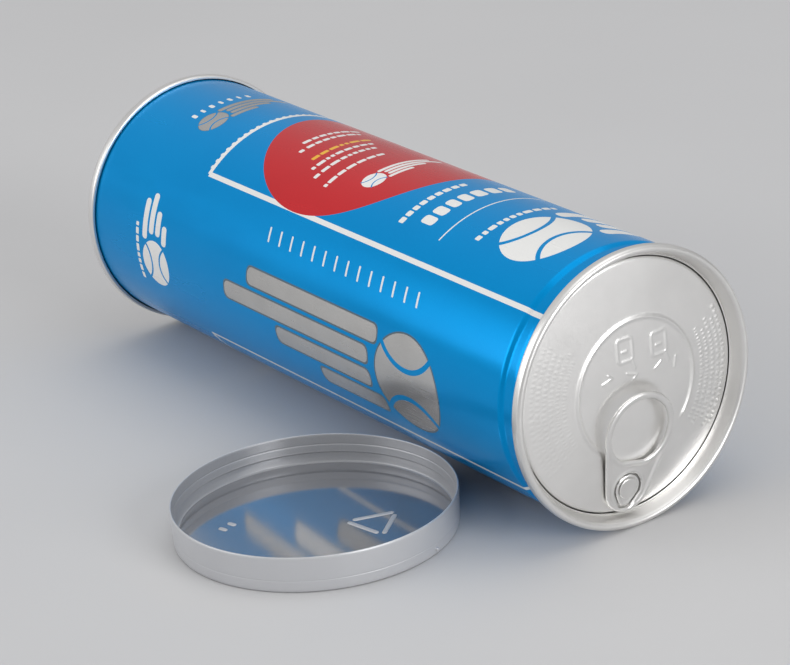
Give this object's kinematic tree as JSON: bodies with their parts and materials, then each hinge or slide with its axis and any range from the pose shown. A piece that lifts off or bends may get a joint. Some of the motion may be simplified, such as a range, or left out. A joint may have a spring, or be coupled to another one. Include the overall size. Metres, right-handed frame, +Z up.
{
  "type": "tennis ball can",
  "caption": "Printed tinplate tennis ball can lying on its side, with a ring-pull end, felt balls sealed inside, and its silver plastic overcap open side up beside it.",
  "frame": {"origin": "middle of the footprint of the can and its overcap together, on the surface they lie on", "axes": "+X along the can's axis towards the ring-pull end, +Z up, the overcap on the -Y side"},
  "size_m": [0.2146, 0.1388, 0.076],
  "materials": {
    "printed_tinplate": "gloss print lacquered over tinplate",
    "tinplate": "satin",
    "end_aluminium": "satin with fine rolling grain",
    "tab_aluminium": "bright satin",
    "seam_compound": "matte",
    "cap_plastic": "silver-pigmented gloss",
    "core_rubber": "matte",
    "felt": "napped wool felt",
    "seam_glue": "matte"
  },
  "bodies": {
    "can": {"can_body": "printed_tinplate", "bottom_end": "tinplate", "bottom_seal": "seam_compound", "end_ring": "end_aluminium", "top_seal": "seam_compound"},
    "panel": {"tear_panel": "end_aluminium", "tab_rivet": "end_aluminium", "tab_tongue": "tab_aluminium"},
    "tab": {"pull_tab": "tab_aluminium"},
    "overcap": {"overcap": "cap_plastic"},
    "ball_1": {"ball_1_core_left": "core_rubber", "ball_1_core_right": "core_rubber", "ball_1_felt_a": "felt", "ball_1_felt_b": "felt", "ball_1_glue_seam": "seam_glue"},
    "ball_2": {"ball_2_core_left": "core_rubber", "ball_2_core_right": "core_rubber", "ball_2_felt_a": "felt", "ball_2_felt_b": "felt", "ball_2_glue_seam": "seam_glue"},
    "ball_3": {"ball_3_core_left": "core_rubber", "ball_3_core_right": "core_rubber", "ball_3_felt_a": "felt", "ball_3_felt_b": "felt", "ball_3_glue_seam": "seam_glue"}
  },
  "joints": [
    {"name": "panel_open", "type": "hinge", "parent": "can", "child": "panel", "pos_m": [0.10248, 0.0353, 0.06726], "axis": [0, -0.9912, 0.1323], "range_deg": [0, 90]},
    {"name": "tab_lift", "type": "hinge", "parent": "panel", "child": "tab", "pos_m": [0.10276, 0.02695, 0.00466], "axis": [0, 0.9759, -0.2181], "range_deg": [0, 90]},
    {"name": "overcap_lift", "type": "slide", "parent": "can", "child": "overcap", "axis": [0, -0.866, 0.5], "range_m": [0, 0.12]},
    {"name": "ball_1_play", "type": "slide", "parent": "can", "child": "ball_1", "axis": [1, 0, 0], "range_m": [-0.0006, 0.0022]},
    {"name": "ball_2_play", "type": "slide", "parent": "can", "child": "ball_2", "axis": [1, 0, 0], "range_m": [-0.0006, 0.0006]},
    {"name": "ball_3_play", "type": "slide", "parent": "can", "child": "ball_3", "axis": [1, 0, 0], "range_m": [-0.0018, 0.0006]}
  ]
}
